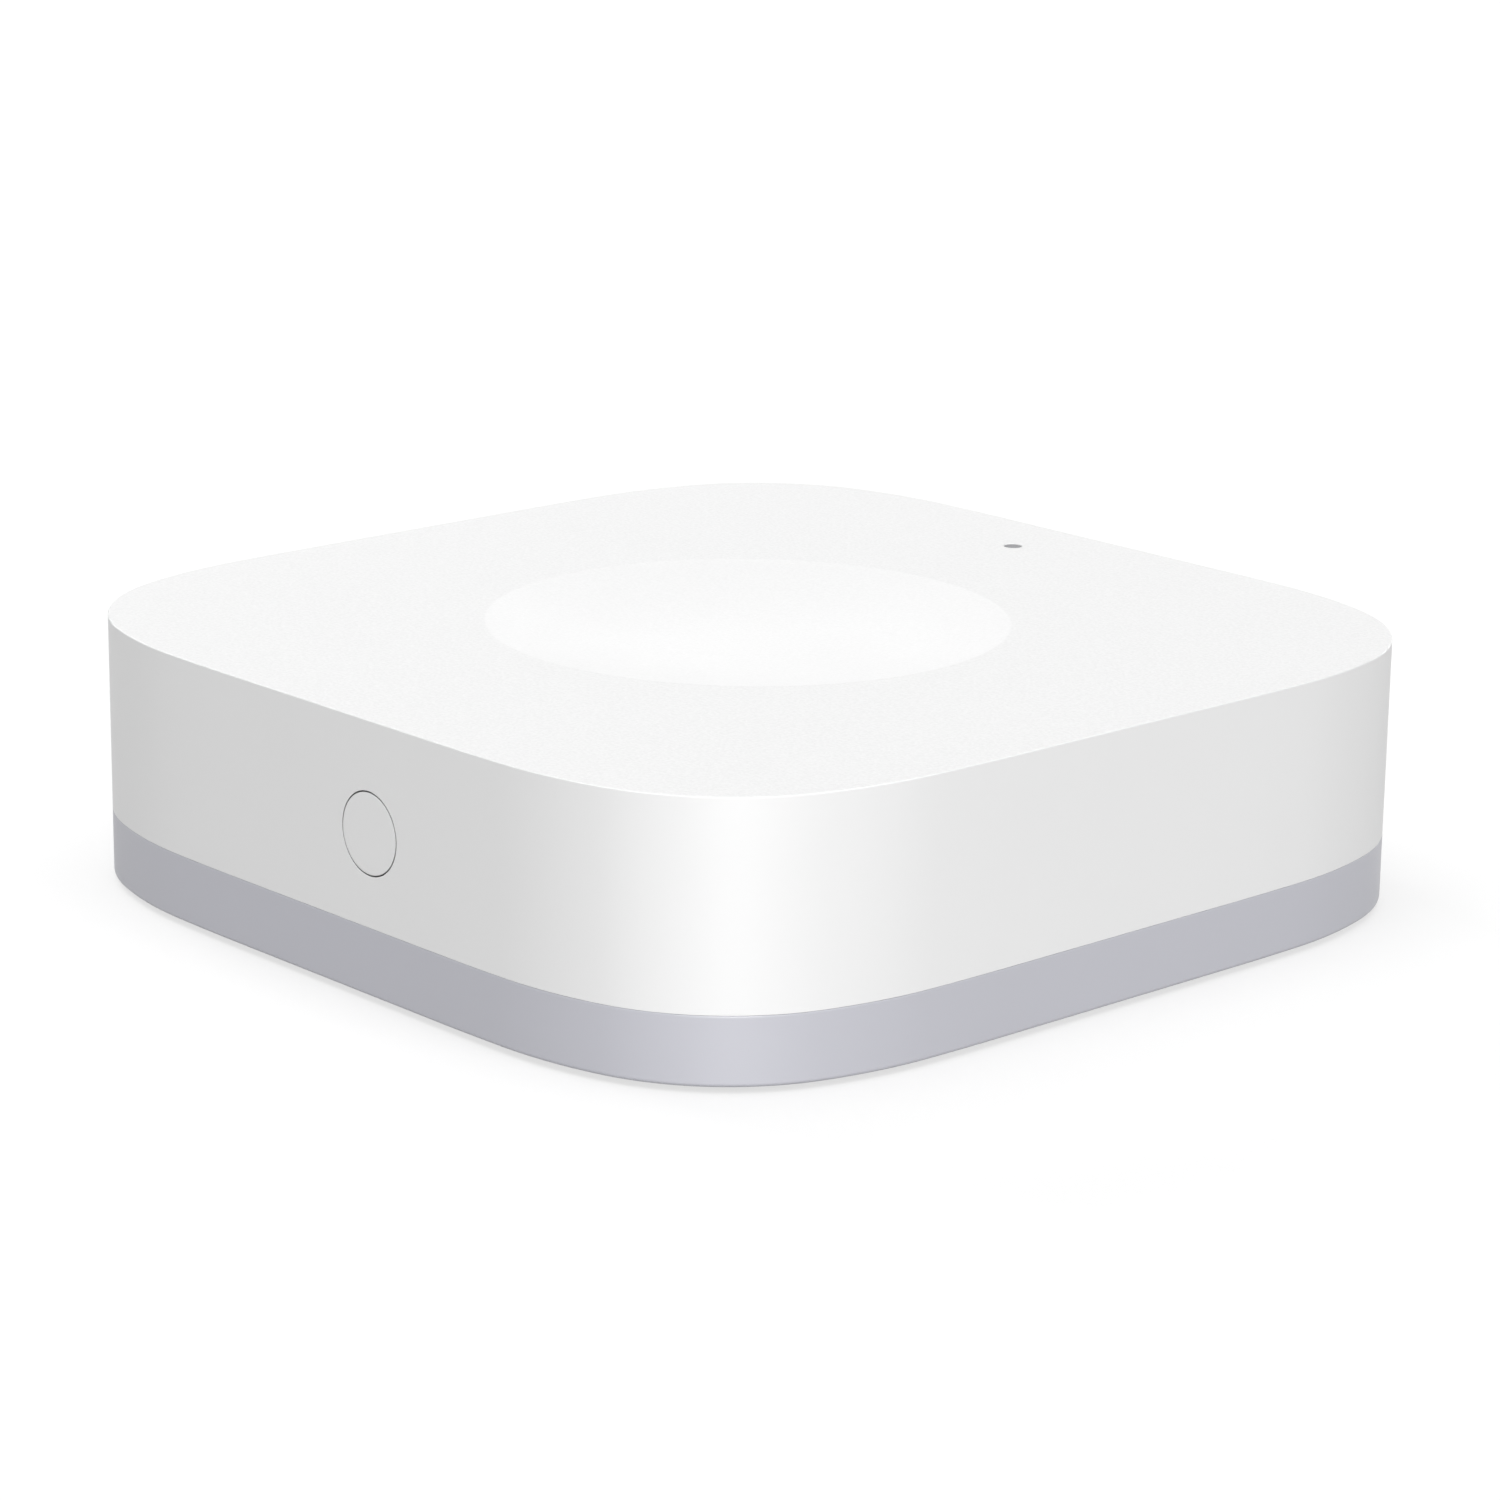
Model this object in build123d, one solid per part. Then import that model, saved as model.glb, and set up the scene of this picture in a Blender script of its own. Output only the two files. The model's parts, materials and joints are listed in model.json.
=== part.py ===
from build123d import *
import math
import os

# Smart home hub: a low square puck with squircle corners. A white top cover with a shallow round
# dish closes over a grey-blue base shell. A round push button sits in the front wall, a status
# light shows through the top near the rear edge, and a USB-C power inlet is set into the rear wall.
# Frame: +Z up, origin on the table under the middle of the hub, front wall facing -Y. Millimetres.

# ---- driving dimensions ----
HALF = 40.0              # half the width over the flat sides
FOOT_PROUD = 0.4         # rubber feet stand this far below the base
BODY_H = 20.3            # base underside to top face
BAND_H = 5.1             # height of the base shell's visible band
Z_BOT = FOOT_PROUD
Z_PART = Z_BOT + BAND_H  # parting line, 5.5
Z_TOP = Z_BOT + BODY_H   # 20.7
# corner outline: three tangent arcs from the flat side to the diagonal
R1, TH1 = 194.2, 2.07
R2, TH2 = 32.9, 15.43
R3 = 16.15
WALL = 2.0
SKIN = 2.0               # top thickness
Z_CEIL = Z_TOP - SKIN    # 18.7
TOP_EDGE_R = 0.1
BOTTOM_EDGE_R = 0.3

DISH_R = 20.0
DISH_DEPTH = 1.5

BASE_WALL = 3.3
FLOOR = 1.8
Z_FLOOR = Z_BOT + FLOOR  # 2.2
LIP_GAP = 0.1
LIP_TOP = 6.7

SCREW_AT = 27.0          # case screws and feet, on both axes
FOOT_R = 5.0
FOOT_T = 1.2
FOOT_POCKET = 0.8

BTN_X, BTN_Z = 4.75, Z_TOP - 8.26
BTN_R = 3.0
BTN_GAP = 0.1
BTN_TRAVEL = 0.4

LED_X, LED_Y = -4.5, 33.2
LENS_R = 0.70

PCB_TOP = 10.0
PCB_T = 1.6
PCB_HALF = 36.6

PORT_X = 7.0
PORT_Z = PCB_TOP + 1.63
PORT_W, PORT_H, PORT_R = 13.0, 7.2, 1.6
PORT_BACK = 35.2         # back face of the port recess
USB_FRONT = 35.5

BOARD_SCREWS = [(-30, 14), (30, 14), (-30, -14), (30, -14)]
CORNERS = [(SCREW_AT, SCREW_AT), (-SCREW_AT, SCREW_AT), (-SCREW_AT, -SCREW_AT), (SCREW_AT, -SCREW_AT)]

os.makedirs("parts", exist_ok=True)
_made = {}


def save(shape, name):
    solids = list(shape.solids()) if hasattr(shape, "solids") else [s for x in shape for s in x.solids()]
    out = solids[0] if len(solids) == 1 else Compound(children=[Solid(s.wrapped) for s in solids])
    export_step(out, f"parts/{name}.step")
    _made[name] = out
    print(name, "solids", len(solids), "volume", round(sum(s.volume for s in solids), 2))


def squircle(inset, z=0.0):
    """Face of the hub's outline, moved inwards by inset."""
    t1, t2 = math.radians(TH1), math.radians(TH1 + TH2)
    x = HALF - R1 + (R1 - R2) * math.cos(t1) + (R2 - R3) * math.cos(t2)
    y0 = (R1 - R2) * math.sin(t1) + (R2 - R3) * math.sin(t2)
    flat = x - y0
    c1 = (HALF - R1, flat)
    c2 = (c1[0] + (R1 - R2) * math.cos(t1), c1[1] + (R1 - R2) * math.sin(t1))
    c3 = (c2[0] + (R2 - R3) * math.cos(t2), c2[1] + (R2 - R3) * math.sin(t2))

    def on(c, r, a):
        return (c[0] + (r - inset) * math.cos(a), c[1] + (r - inset) * math.sin(a))

    def flip(p):
        return (p[1], p[0])

    half = [(on(c1, R1, 0), on(c1, R1, t1 / 2), on(c1, R1, t1)), (on(c2, R2, t1), on(c2, R2, (t1 + t2) / 2), on(c2, R2, t2))]
    nose = (on(c3, R3, t2), on(c3, R3, math.pi / 4), flip(on(c3, R3, t2)))
    quarter = half + [nose] + [(flip(c), flip(b), flip(a)) for a, b, c in reversed(half)]
    edges = []
    for k in range(4):
        ca, sa = [(1, 0), (0, 1), (-1, 0), (0, -1)][k]

        def turn(p):
            return (p[0] * ca - p[1] * sa, p[0] * sa + p[1] * ca)

        start = turn((HALF - inset, -flat))
        edges.append(Edge.make_line((*start, z), (*turn(quarter[0][0]), z)))
        for a, b, c in quarter:
            edges.append(Edge.make_three_point_arc((*turn(a), z), (*turn(b), z), (*turn(c), z)))
    return Face(Wire(edges))


def slab(inset, z0, z1):
    return extrude(squircle(inset, z0), z1 - z0, dir=(0, 0, 1))


def cyl(x, y, r, z0, z1):
    return Pos(x, y, (z0 + z1) / 2) * Cylinder(r, z1 - z0)


def ycyl(x, z, r, y0, y1):
    return Pos(x, (y0 + y1) / 2, z) * Rot(90, 0, 0) * Cylinder(r, y1 - y0)


def block(x0, x1, y0, y1, z0, z1):
    return Pos((x0 + x1) / 2, (y0 + y1) / 2, (z0 + z1) / 2) * Box(x1 - x0, y1 - y0, z1 - z0)


def rounded_y(xc, zc, w, h, r, y0, y1):
    """Rounded rectangle in XZ, extruded along Y from y0 to y1."""
    plane = Plane(origin=(xc, y0, zc), x_dir=(1, 0, 0), z_dir=(0, 1, 0))
    return extrude(plane * RectangleRounded(w, h, r), y1 - y0)


def stadium_y(xc, zc, w, h, y0, y1):
    plane = Plane(origin=(xc, y0, zc), x_dir=(1, 0, 0), z_dir=(0, 1, 0))
    return extrude(plane * SlotOverall(w, h), y1 - y0)


def lens_profile(radius, depth, z_rim):
    """Spherical cap below the plane z_rim."""
    big = (radius**2 + depth**2) / (2 * depth)
    mid_x = radius / 2
    zc = z_rim - depth + big
    mid_z = zc - math.sqrt(big**2 - mid_x**2)
    edges = [
        Edge.make_three_point_arc((0, 0, z_rim - depth), (mid_x, 0, mid_z), (radius, 0, z_rim)),
        Edge.make_line((radius, 0, z_rim), (0, 0, z_rim)),
        Edge.make_line((0, 0, z_rim), (0, 0, z_rim - depth)),
    ]
    return revolve(Face(Wire(edges)), Axis.Z, 360)


# ---- top cover: white shell with the dish, the button hole, the light hole and the port recess ----
cover = slab(0, Z_PART, Z_TOP)
cover = fillet(cover.edges().filter_by_position(Axis.Z, Z_TOP - 0.001, Z_TOP + 0.001), TOP_EDGE_R)
cavity = slab(WALL, Z_PART - 1, Z_CEIL)
# the ceiling bulges under the dish so that the wall stays two millimetres thick
bulge_r = DISH_R + 1.2
bulge = lens_profile(bulge_r, DISH_DEPTH, Z_CEIL)
cover = cover - (cavity - bulge)
dish_big = (DISH_R**2 + DISH_DEPTH**2) / (2 * DISH_DEPTH)
dish_over = 0.5
dish_rim_r = math.sqrt(dish_big**2 - (dish_big - DISH_DEPTH - dish_over) ** 2)
dish_cut = lens_profile(dish_rim_r, DISH_DEPTH + dish_over, Z_TOP + dish_over)
cover = cover - dish_cut
rim = cover.edges().filter_by(GeomType.CIRCLE).filter_by_position(Axis.Z, Z_TOP - 0.01, Z_TOP + 0.01)
rim = [e for e in rim if abs(e.radius - DISH_R) < 0.5]
cover = fillet(rim, 0.25)

bosses = []
for x, y in CORNERS:
    bosses.append(cyl(x, y, 3.2, 7.4, Z_CEIL + 0.2))
for x, y in BOARD_SCREWS:
    bosses.append(cyl(x, y, 2.6, PCB_TOP, Z_CEIL + 0.2))
bosses.append(cyl(LED_X, LED_Y, 2.3, 14.0, Z_CEIL + 0.2))
# ring that guides the button
bosses.append(ycyl(BTN_X, BTN_Z, 4.7, -38.6, -35.6))
# collar round the port recess
bosses.append(rounded_y(PORT_X, PORT_Z, PORT_W + 2.4, PORT_H + 2.4, 2.8, 34.0, 38.4))
# gussets between the corner bosses and the ceiling, and stiffening ribs under the top
for sx, sy in ((1, 1), (-1, 1), (-1, -1), (1, -1)):
    rib = Pos(sx * 32.2, sy * 32.2, 16.6) * Rot(0, 0, 45 * sx * sy) * Box(9.0, 1.2, 4.4)
    bosses.append(rib & slab(WALL - 0.2, 10, Z_CEIL + 0.1))
for y in (-24.0, 24.0):
    bosses.append(block(-23.5, 23.5, y - 0.5, y + 0.5, 16.9, Z_CEIL + 0.2) - block(-1.2, 14.9, 33, 39, 0, 30))
for x in (-24.5, 24.5):
    bosses.append(block(x - 0.5, x + 0.5, -23.5, 23.5, 16.9, Z_CEIL + 0.2))
for b in bosses:
    cover = cover + b
for x, y in CORNERS:
    cover = cover - cyl(x, y, 1.05, 7.0, 14.0)
for x, y in BOARD_SCREWS:
    cover = cover - cyl(x, y, 0.85, 9.5, 15.6)
cover = cover - cyl(LED_X, LED_Y, LENS_R + 0.05, 18.0, Z_TOP + 1) - cyl(LED_X, LED_Y, 1.26, 13.0, 18.75)
cover = cover - ycyl(BTN_X, BTN_Z, BTN_R + BTN_GAP, -41, -35)
cover = cover - rounded_y(PORT_X, PORT_Z, PORT_W, PORT_H, PORT_R, PORT_BACK, 41)
cover = cover - stadium_y(PORT_X, PORT_Z, 9.34, 3.60, 33, 36)
# soft lead-in round the port recess
mouth = [e for e in cover.edges() if abs(e.center().Y - HALF) < 0.02 and abs(e.center().Z - PORT_Z) < PORT_H / 2 + 0.1 and abs(e.center().X - PORT_X) < PORT_W / 2 + 0.1]
try:
    softened = fillet(mouth, 0.35)
    if softened.is_valid:
        cover = softened
    else:
        print("port lead-in left sharp")
except Exception as err:
    print("port lead-in left sharp:", err)
save(cover, "top_cover")

# ---- base shell: grey-blue tray that carries the feet, screw posts, ballast and vents ----
base = slab(0, Z_BOT, Z_PART)
base = fillet(base.edges().filter_by_position(Axis.Z, Z_BOT - 0.001, Z_BOT + 0.001), BOTTOM_EDGE_R)
base = base - slab(BASE_WALL, Z_FLOOR, Z_PART + 1)
base = base + (slab(WALL + LIP_GAP, Z_PART - 0.5, LIP_TOP) - slab(BASE_WALL, Z_PART - 1, LIP_TOP + 1))
for x, y in CORNERS:
    base = base + cyl(x, y, 4.0, Z_FLOOR - 0.2, 7.4)
for x in (-18.0, 18.0):
    base = base + cyl(x, 0, 1.5, Z_FLOOR - 0.2, 5.4)
for x, y in CORNERS:
    base = base - cyl(x, y, FOOT_R + 0.15, -1, Z_BOT + FOOT_POCKET)
    base = base - cyl(x, y, 2.7, 0, 4.0) - cyl(x, y, 1.45, 3, 8)
# underside vents
slots = []
for i in range(9):
    for y in (-23.5, 23.5):
        x = (i - 4) * 4.0
        slots.append(Pos(x, y, 0) * Rot(0, 0, 90) * extrude(SlotOverall(10.0, 1.6), 4.0))
for s in slots:
    base = base - s
# shallow pocket for the rating label
base = base - extrude(Pos(0, 0, Z_BOT - 1) * RectangleRounded(46, 26, 1.5), 1.15)
save(base, "base_shell")

save(extrude(Pos(0, 0, Z_BOT + 0.03) * RectangleRounded(45.6, 25.6, 1.3), 0.12), "rating_label")

# ---- rubber feet and fasteners ----
feet = []
for x, y in CORNERS:
    f = cyl(x, y, FOOT_R, 0, FOOT_T)
    f = fillet(f.edges().filter_by_position(Axis.Z, -0.001, 0.001), 0.3)
    feet.append(f)
save(feet, "rubber_feet")


def screw(x, y, z_seat, head_r, head_h, shank_r, tip_z, recess_w, recess_l, recess_d):
    """Pan-head screw driven upwards from below, seated at z_seat."""
    head = cyl(x, y, head_r, z_seat - head_h, z_seat)
    head = fillet(head.edges().filter_by_position(Axis.Z, z_seat - head_h - 0.001, z_seat - head_h + 0.001), head_h * 0.45)
    body = head + cyl(x, y, shank_r, z_seat - 0.1, tip_z - shank_r)
    body = body + Pos(x, y, tip_z - shank_r / 2) * Cone(shank_r, shank_r * 0.25, shank_r)
    cross = Pos(x, y, z_seat - head_h + recess_d / 2 - 0.05) * (Box(recess_l, recess_w, recess_d + 0.1) + Box(recess_w, recess_l, recess_d + 0.1))
    return body - cross


save([screw(x, y, 4.0, 2.5, 1.8, 1.0, 13.2, 0.55, 2.6, 1.1) for x, y in CORNERS], "case_screws")
save([screw(x, y, PCB_TOP - PCB_T, 1.9, 1.3, 0.8, 14.8, 0.45, 2.0, 0.8) for x, y in BOARD_SCREWS], "board_screws")

# ---- ballast plate, its insulating sheet and push nuts ----
plate = extrude(Pos(0, 0, Z_FLOOR) * RectangleRounded(46, 34, 3), 1.9)
sheet = extrude(Pos(0, 0, Z_FLOOR + 1.9) * RectangleRounded(50, 36, 3), 0.2)
for x in (-18.0, 18.0):
    plate = plate - cyl(x, 0, 1.7, 2, 6)
    sheet = sheet - cyl(x, 0, 1.7, 2, 6)
save(plate, "ballast_plate")
save(sheet, "insulation_sheet")
nuts = []
for x in (-18.0, 18.0):
    ring = cyl(x, 0, 4.0, Z_FLOOR + 2.1, Z_FLOOR + 2.5) - cyl(x, 0, 1.52, 3, 6)
    for k in range(6):
        a = math.radians(60 * k)
        ring = ring - Pos(x + 1.9 * math.cos(a), 1.9 * math.sin(a), Z_FLOOR + 2.3) * Rot(0, 0, 60 * k) * Box(1.5, 0.35, 1)
    nuts.append(ring)
save(nuts, "push_nuts")

# ---- front button ----
cap = ycyl(BTN_X, BTN_Z, BTN_R, -HALF, -34.6)
cap = fillet(cap.edges().filter_by_position(Axis.Y, -HALF - 0.001, -HALF + 0.001), 0.04)
flange = ycyl(BTN_X, BTN_Z, 3.9, -35.58, -34.6)
stem = ycyl(BTN_X, BTN_Z, 1.3, -34.7, -33.02)
button = cap + flange + stem
# hollow back, as a moulded cap has
button = button - (ycyl(BTN_X, BTN_Z, 2.1, -38.6, -34.0) - ycyl(BTN_X, BTN_Z, 1.3, -40, -33))
save(button, "side_button")

# ---- side-push tact switch behind the button ----
SW_Y0, SW_Y1 = -31.5, -28.0
sw_body = block(BTN_X - 3.0, BTN_X + 3.0, SW_Y0, SW_Y1, PCB_TOP, BTN_Z + 1.95)
sw_body = sw_body - block(BTN_X - 2.2, BTN_X + 2.2, -30.9, -28.6, BTN_Z - 1.6, BTN_Z + 1.6)
sw_body = sw_body - block(BTN_X - 1.55, BTN_X + 1.55, -32, -30.5, BTN_Z - 0.85, BTN_Z + 0.85)
save(sw_body, "switch_body")
plunger = block(BTN_X - 1.45, BTN_X + 1.45, -33.0, -30.5, BTN_Z - 0.75, BTN_Z + 0.75)
plunger = fillet(plunger.edges().filter_by(Axis.Y), 0.25)
plunger = plunger + block(BTN_X - 1.95, BTN_X + 1.95, -30.87, -30.2, BTN_Z - 1.25, BTN_Z + 1.25)
plunger = plunger + ycyl(BTN_X, BTN_Z, 0.6, -30.3, -29.26)
save(plunger, "switch_plunger")
# snap dome: a thin cap whose crown meets the plunger's nose
DOME_R, DOME_RISE, DOME_T = 1.45, 0.55, 0.08
big = (DOME_R**2 + DOME_RISE**2) / (2 * DOME_RISE)


def dome_pt(r, off):
    return (r, big - DOME_RISE - math.sqrt((big + off) ** 2 - r**2))


a0, am, a1 = dome_pt(0, 0), dome_pt(DOME_R / 2, 0), dome_pt(DOME_R, 0)
b0, bm, b1 = dome_pt(0, -DOME_T), dome_pt(DOME_R / 2, -DOME_T), dome_pt(DOME_R, -DOME_T)
prof = Wire([
    Edge.make_three_point_arc((a0[0], 0, a0[1]), (am[0], 0, am[1]), (a1[0], 0, a1[1])),
    Edge.make_line((a1[0], 0, a1[1]), (b1[0], 0, b1[1])),
    Edge.make_three_point_arc((b1[0], 0, b1[1]), (bm[0], 0, bm[1]), (b0[0], 0, b0[1])),
    Edge.make_line((b0[0], 0, b0[1]), (a0[0], 0, a0[1])),
])
dome = revolve(Face(prof), Axis.Z, 360)
# the profile's crown points to -Z; turn it to face -Y
dome = Pos(BTN_X, -28.69, BTN_Z) * Rot(-90, 0, 0) * dome
save(dome, "switch_dome")
frame = block(BTN_X - 3.2, BTN_X + 3.2, SW_Y0, SW_Y1, BTN_Z + 1.95, BTN_Z + 2.15)
frame = frame + block(BTN_X - 3.2, BTN_X - 3.0, SW_Y0, SW_Y1, PCB_TOP, BTN_Z + 2.0)
frame = frame + block(BTN_X + 3.0, BTN_X + 3.2, SW_Y0, SW_Y1, PCB_TOP, BTN_Z + 2.0)
for sx in (-1, 1):
    for y in (SW_Y0 + 0.5, SW_Y1 - 1.3):
        x0, x1 = sorted((BTN_X + sx * 3.1, BTN_X + sx * 4.1))
        frame = frame + block(x0, x1, y, y + 0.8, PCB_TOP, PCB_TOP + 0.2)
save(frame, "switch_frame")

# ---- status light and its light pipe ----
led = block(LED_X - 0.8, LED_X + 0.8, LED_Y - 0.4, LED_Y + 0.4, PCB_TOP, PCB_TOP + 0.35)
led = led + block(LED_X - 0.55, LED_X + 0.55, LED_Y - 0.4, LED_Y + 0.4, PCB_TOP + 0.3, PCB_TOP + 0.75)
save(led, "status_led")
pipe = cyl(LED_X, LED_Y, LENS_R, 18.0, Z_TOP - 0.03)
pipe = fillet(pipe.edges().filter_by_position(Axis.Z, Z_TOP - 0.04, Z_TOP), 0.15)
pipe = pipe + cyl(LED_X, LED_Y, 1.2, PCB_TOP + 0.95, 18.6)
save(pipe, "light_pipe")

# ---- main board ----
pcb = extrude(squircle(HALF - PCB_HALF, PCB_TOP - PCB_T), PCB_T, dir=(0, 0, 1))
for x, y in CORNERS:
    sx, sy = (1 if x > 0 else -1), (1 if y > 0 else -1)
    pcb = pcb - cyl(x, y, 4.2, 5, 12)
    pcb = pcb - Pos(x + sx * 5, y + sy * 5, 9) * Rot(0, 0, 45 * sx * sy) * Box(14.14, 8.4, 6)
for x, y in BOARD_SCREWS:
    pcb = pcb - cyl(x, y, 1.15, 5, 12)
pcb = pcb - block(PORT_X - 8.5, PORT_X + 8.5, 33.6, 40, 5, 12)
pcb = pcb - block(BTN_X - 5.2, BTN_X + 5.2, -40, -33.7, 5, 12)
save(pcb, "main_board")

# ---- USB-C receptacle ----
shell = stadium_y(PORT_X, PORT_Z, 8.94, 3.26, 28.2, USB_FRONT) - stadium_y(PORT_X, PORT_Z, 8.34, 2.66, 28.5, USB_FRONT + 1)
for sx in (-1, 1):
    for y in (28.6, 31.6):
        x0, x1 = sorted((PORT_X + sx * 2.6, PORT_X + sx * 5.3))
        shell = shell + block(x0, x1, y, y + 1.2, PCB_TOP, PCB_TOP + 0.28)
shell = shell - stadium_y(PORT_X, PORT_Z, 8.34, 2.66, 28.5, USB_FRONT + 1)
save(shell, "usb_c_shell")
tongue = stadium_y(PORT_X, PORT_Z, 8.30, 2.62, 28.5, 30.2) + block(PORT_X - 3.35, PORT_X + 3.35, 30.0, 34.9, PORT_Z - 0.35, PORT_Z + 0.35)
save(tongue, "usb_c_tongue")
pads = []
for i in range(12):
    x = PORT_X + (i - 5.5) * 0.5
    pads.append(block(x - 0.14, x + 0.14, 30.9, 34.5, PORT_Z + 0.35, PORT_Z + 0.40))
    pads.append(block(x - 0.14, x + 0.14, 30.9, 34.5, PORT_Z - 0.40, PORT_Z - 0.35))
save(pads, "usb_c_contacts")

# ---- radio module, its shield, and two stamped antennas ----
module = block(-25.0, -9.0, -22.5, -0.5, PCB_TOP, PCB_TOP + 0.8)
for i in range(9):
    y = -20.0 + i * 2.0
    for x in (-25.0, -9.0):
        module = module - cyl(x, y, 0.35, PCB_TOP - 1, PCB_TOP + 2)
save(module, "radio_module")
can = block(-24.0, -10.0, -17.5, -1.5, PCB_TOP + 0.8, PCB_TOP + 3.2)
can = fillet(can.edges().filter_by_position(Axis.Z, PCB_TOP + 3.19, PCB_TOP + 3.21), 0.3)
can = can - block(-23.75, -10.25, -17.25, -1.75, PCB_TOP + 0.5, PCB_TOP + 2.95)
save(can, "radio_shield")


def inverted_f(x0, y0, length, along_x=True):
    """Stamped sheet antenna: a raised strip on a feed leg and a ground leg."""
    t, w, h = 0.3, 4.2, 4.6
    strip = block(x0, x0 + length, y0, y0 + w, PCB_TOP + h, PCB_TOP + h + t)
    strip = strip - block(x0 + 4.0, x0 + length - 3.0, y0 + 1.6, y0 + 2.6, PCB_TOP, PCB_TOP + 9)
    strip = strip + block(x0, x0 + t, y0, y0 + w, PCB_TOP, PCB_TOP + h + t)
    strip = strip + block(x0 + 3.2, x0 + 4.4, y0, y0 + t, PCB_TOP, PCB_TOP + h + t)
    strip = strip + block(x0 + length - t, x0 + length, y0 + 1.0, y0 + w - 1.0, PCB_TOP + h - 1.6, PCB_TOP + h + t)
    return strip


save(inverted_f(-20.0, -34.6, 19.0), "zigbee_antenna")
save(inverted_f(-28.0 + 6.0, 27.0, 15.0), "wifi_antenna")

# ---- processor, memory, heat spreader ----
save(block(0.0, 12.0, -4.0, 8.0, PCB_TOP, PCB_TOP + 1.2), "processor")
save([block(15.0, 24.0, -1.0, 7.0, PCB_TOP, PCB_TOP + 1.0), block(15.5, 20.5, -10.5, -4.5, PCB_TOP, PCB_TOP + 1.0)], "memory_chips")
save(block(0.5, 11.5, -3.5, 7.5, PCB_TOP + 1.2, PCB_TOP + 2.2), "thermal_pad")
spreader = block(-6.5, 26.0, -14.0, 18.0, PCB_TOP + 2.2, PCB_TOP + 3.4)
spreader = fillet(spreader.edges().filter_by(Axis.Z), 2.0)
for i in range(8):
    x = -4.2 + i * 4.0
    spreader = spreader + block(x, x + 0.8, -12.5, 16.5, PCB_TOP + 3.3, PCB_TOP + 4.9)
save(spreader, "heat_spreader")

# ---- power parts and small parts on the board ----
coil = block(15.5, 22.5, 20.5, 27.5, PCB_TOP, PCB_TOP + 3.0)
coil = fillet(coil.edges().filter_by(Axis.Z), 1.2)
save(coil, "power_inductor")
save([block(24.0, 27.5, 18.8, 21.8, PCB_TOP, PCB_TOP + 0.9), block(13.2, 14.9, 29.2, 32.2, PCB_TOP, PCB_TOP + 1.0)], "regulator_chips")
cans = []
for x, y in ((9.5, 23.6), (3.4, 23.6)):
    b = block(x - 2.65, x + 2.65, y - 2.65, y + 2.65, PCB_TOP, PCB_TOP + 0.7)
    b = fillet(b.edges().filter_by(Axis.Z), 0.5)
    c = cyl(x, y, 2.5, PCB_TOP + 0.6, PCB_TOP + 5.6)
    c = fillet(c.edges().filter_by_position(Axis.Z, PCB_TOP + 5.59, PCB_TOP + 5.61), 0.3)
    cans.append(b + c)
save(cans, "capacitors")
save(block(-5.2, -2.0, 4.0, 6.5, PCB_TOP, PCB_TOP + 0.8), "crystal")
smalls = []
spots = [
    (-4.0, -2.0, 0), (-4.0, -4.0, 0), (-4.0, 0.0, 0), (-4.0, 9.0, 0), (2.0, -7.0, 1), (4.0, -7.0, 1), (6.0, -7.0, 1), (8.0, -7.0, 1),
    (10.0, -7.0, 1), (2.0, 11.0, 1), (4.0, 11.0, 1), (6.0, 11.0, 1), (8.0, 11.0, 1), (17.0, 10.0, 0), (20.0, 10.0, 0), (23.0, 10.0, 0),
    (12.5, 18.9, 0), (-8.0, 33.6, 1), (-10.0, 33.6, 1), (23.6, 23.2, 1), (26.0, 16.5, 0), (-6.0, -30.0, 0), (-4.0, -30.0, 0),
    (0.0, -27.0, 0), (10.5, -27.0, 0), (-28.0, 2.0, 1), (-28.0, 5.0, 1), (-14.0, 22.0, 0), (-17.0, 22.0, 0), (-20.0, 12.0, 0), (-17.0, 12.0, 0),
    (26.0, -16.0, 1), (24.0, -16.0, 1), (22.0, -16.0, 1),
]
for x, y, turned in spots:
    w, l = (0.8, 1.6) if turned else (1.6, 0.8)
    smalls.append(block(x - w / 2, x + w / 2, y - l / 2, y + l / 2, PCB_TOP, PCB_TOP + 0.6))
save(smalls, "small_passives")
print("nodes", len(_made))
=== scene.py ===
import bpy
import bmesh
import json
import math
from mathutils import Matrix, Vector

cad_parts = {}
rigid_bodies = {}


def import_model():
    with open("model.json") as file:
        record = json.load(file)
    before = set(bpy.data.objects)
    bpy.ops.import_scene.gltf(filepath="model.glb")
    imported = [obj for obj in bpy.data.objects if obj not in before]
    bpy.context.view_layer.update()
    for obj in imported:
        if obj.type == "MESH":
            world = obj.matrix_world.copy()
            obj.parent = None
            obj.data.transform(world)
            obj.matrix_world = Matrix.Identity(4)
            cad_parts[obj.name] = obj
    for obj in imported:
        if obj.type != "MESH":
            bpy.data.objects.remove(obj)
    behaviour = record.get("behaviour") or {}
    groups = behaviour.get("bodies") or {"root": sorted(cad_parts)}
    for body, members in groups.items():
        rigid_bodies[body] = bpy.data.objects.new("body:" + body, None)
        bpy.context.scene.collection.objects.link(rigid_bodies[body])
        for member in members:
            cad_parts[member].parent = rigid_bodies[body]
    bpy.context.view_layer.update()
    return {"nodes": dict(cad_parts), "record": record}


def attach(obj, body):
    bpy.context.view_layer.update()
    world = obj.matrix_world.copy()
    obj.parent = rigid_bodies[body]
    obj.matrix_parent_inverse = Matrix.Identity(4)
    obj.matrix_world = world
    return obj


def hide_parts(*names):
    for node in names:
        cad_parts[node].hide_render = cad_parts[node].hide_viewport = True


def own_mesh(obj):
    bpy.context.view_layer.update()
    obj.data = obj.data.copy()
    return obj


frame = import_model()
nodes = frame["nodes"]
scene = bpy.context.scene

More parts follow.
